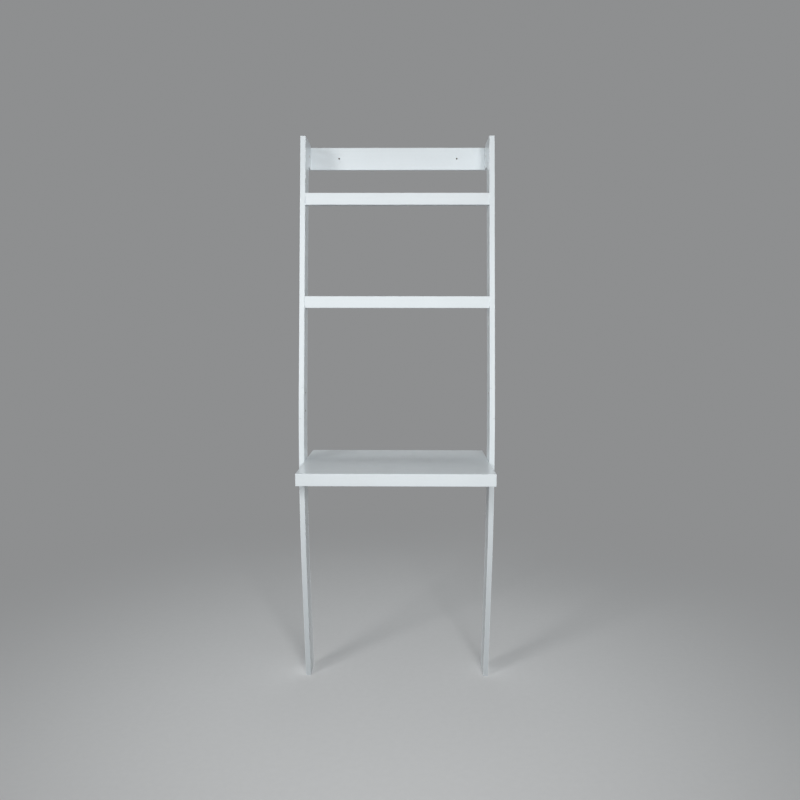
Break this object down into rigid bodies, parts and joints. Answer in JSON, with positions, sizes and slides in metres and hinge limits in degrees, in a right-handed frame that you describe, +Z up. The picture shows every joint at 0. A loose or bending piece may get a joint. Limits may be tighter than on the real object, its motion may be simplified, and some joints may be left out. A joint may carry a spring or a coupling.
{
  "type": "ladder desk",
  "caption": "Ladder desk with bent side boards, a lipped writing surface, lipped shelves above it and a top rail with holes for wall screws.",
  "frame": {"origin": "on the floor, under the middle of the overall outline", "axes": "+X to the right as seen from the front, +Y back towards the wall, +Z up"},
  "size_m": [0.635, 0.508, 1.829],
  "materials": {
    "white_lacquer": "satin",
    "beech_dowel": "matte",
    "zinc_steel": "satin",
    "brass_insert": "satin"
  },
  "bodies": {
    "root": {"upper_side_left": "white_lacquer", "upper_side_right": "white_lacquer", "lower_side_left": "white_lacquer", "lower_side_right": "white_lacquer", "wall_rail": "white_lacquer", "top_shelf_board": "white_lacquer", "top_shelf_lip": "white_lacquer", "middle_shelf_board": "white_lacquer", "middle_shelf_lip": "white_lacquer", "desk_board": "white_lacquer", "desk_lip": "white_lacquer", "desk_side_rail_left": "white_lacquer", "desk_side_rail_right": "white_lacquer", "desk_back_rail": "white_lacquer", "lap_bolts": "zinc_steel", "lap_insert_nuts": "brass_insert", "wall_rail_bolts": "zinc_steel", "wall_rail_barrel_nuts": "zinc_steel", "wall_rail_dowels": "beech_dowel", "shelf_bolts": "zinc_steel", "shelf_barrel_nuts": "zinc_steel", "shelf_end_dowels": "beech_dowel", "shelf_lip_dowels": "beech_dowel", "desk_bolts": "zinc_steel", "desk_insert_nuts": "brass_insert", "desk_end_dowels": "beech_dowel", "desk_lip_dowels": "beech_dowel", "desk_back_rail_dowels": "beech_dowel", "desk_rail_screws": "zinc_steel"}
  },
  "joints": []
}
